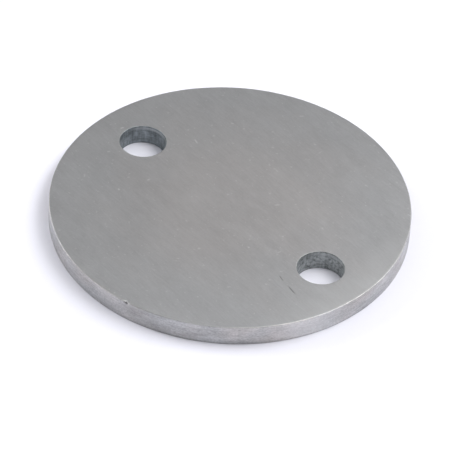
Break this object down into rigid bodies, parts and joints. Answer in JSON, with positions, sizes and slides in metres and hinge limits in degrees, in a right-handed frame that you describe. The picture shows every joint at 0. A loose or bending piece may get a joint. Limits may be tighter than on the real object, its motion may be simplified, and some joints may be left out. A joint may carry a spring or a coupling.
{
  "type": "blind flange",
  "caption": "Flat round steel blanking plate with ground faces and two clear bolt holes on one diameter.",
  "frame": {"origin": "centre of the gasket face, the flat underside of the plate", "axes": "+Z out through the outer face, square to the plate; +X through the centre of one bolt hole; +Y completes a right-handed frame"},
  "size_m": [0.1, 0.1, 0.006],
  "materials": {
    "plate_steel": "satin ground faces with a straight grain, a finely turned rim and drilled holes"
  },
  "bodies": {
    "root": {"flange_plate": "plate_steel"}
  },
  "joints": []
}
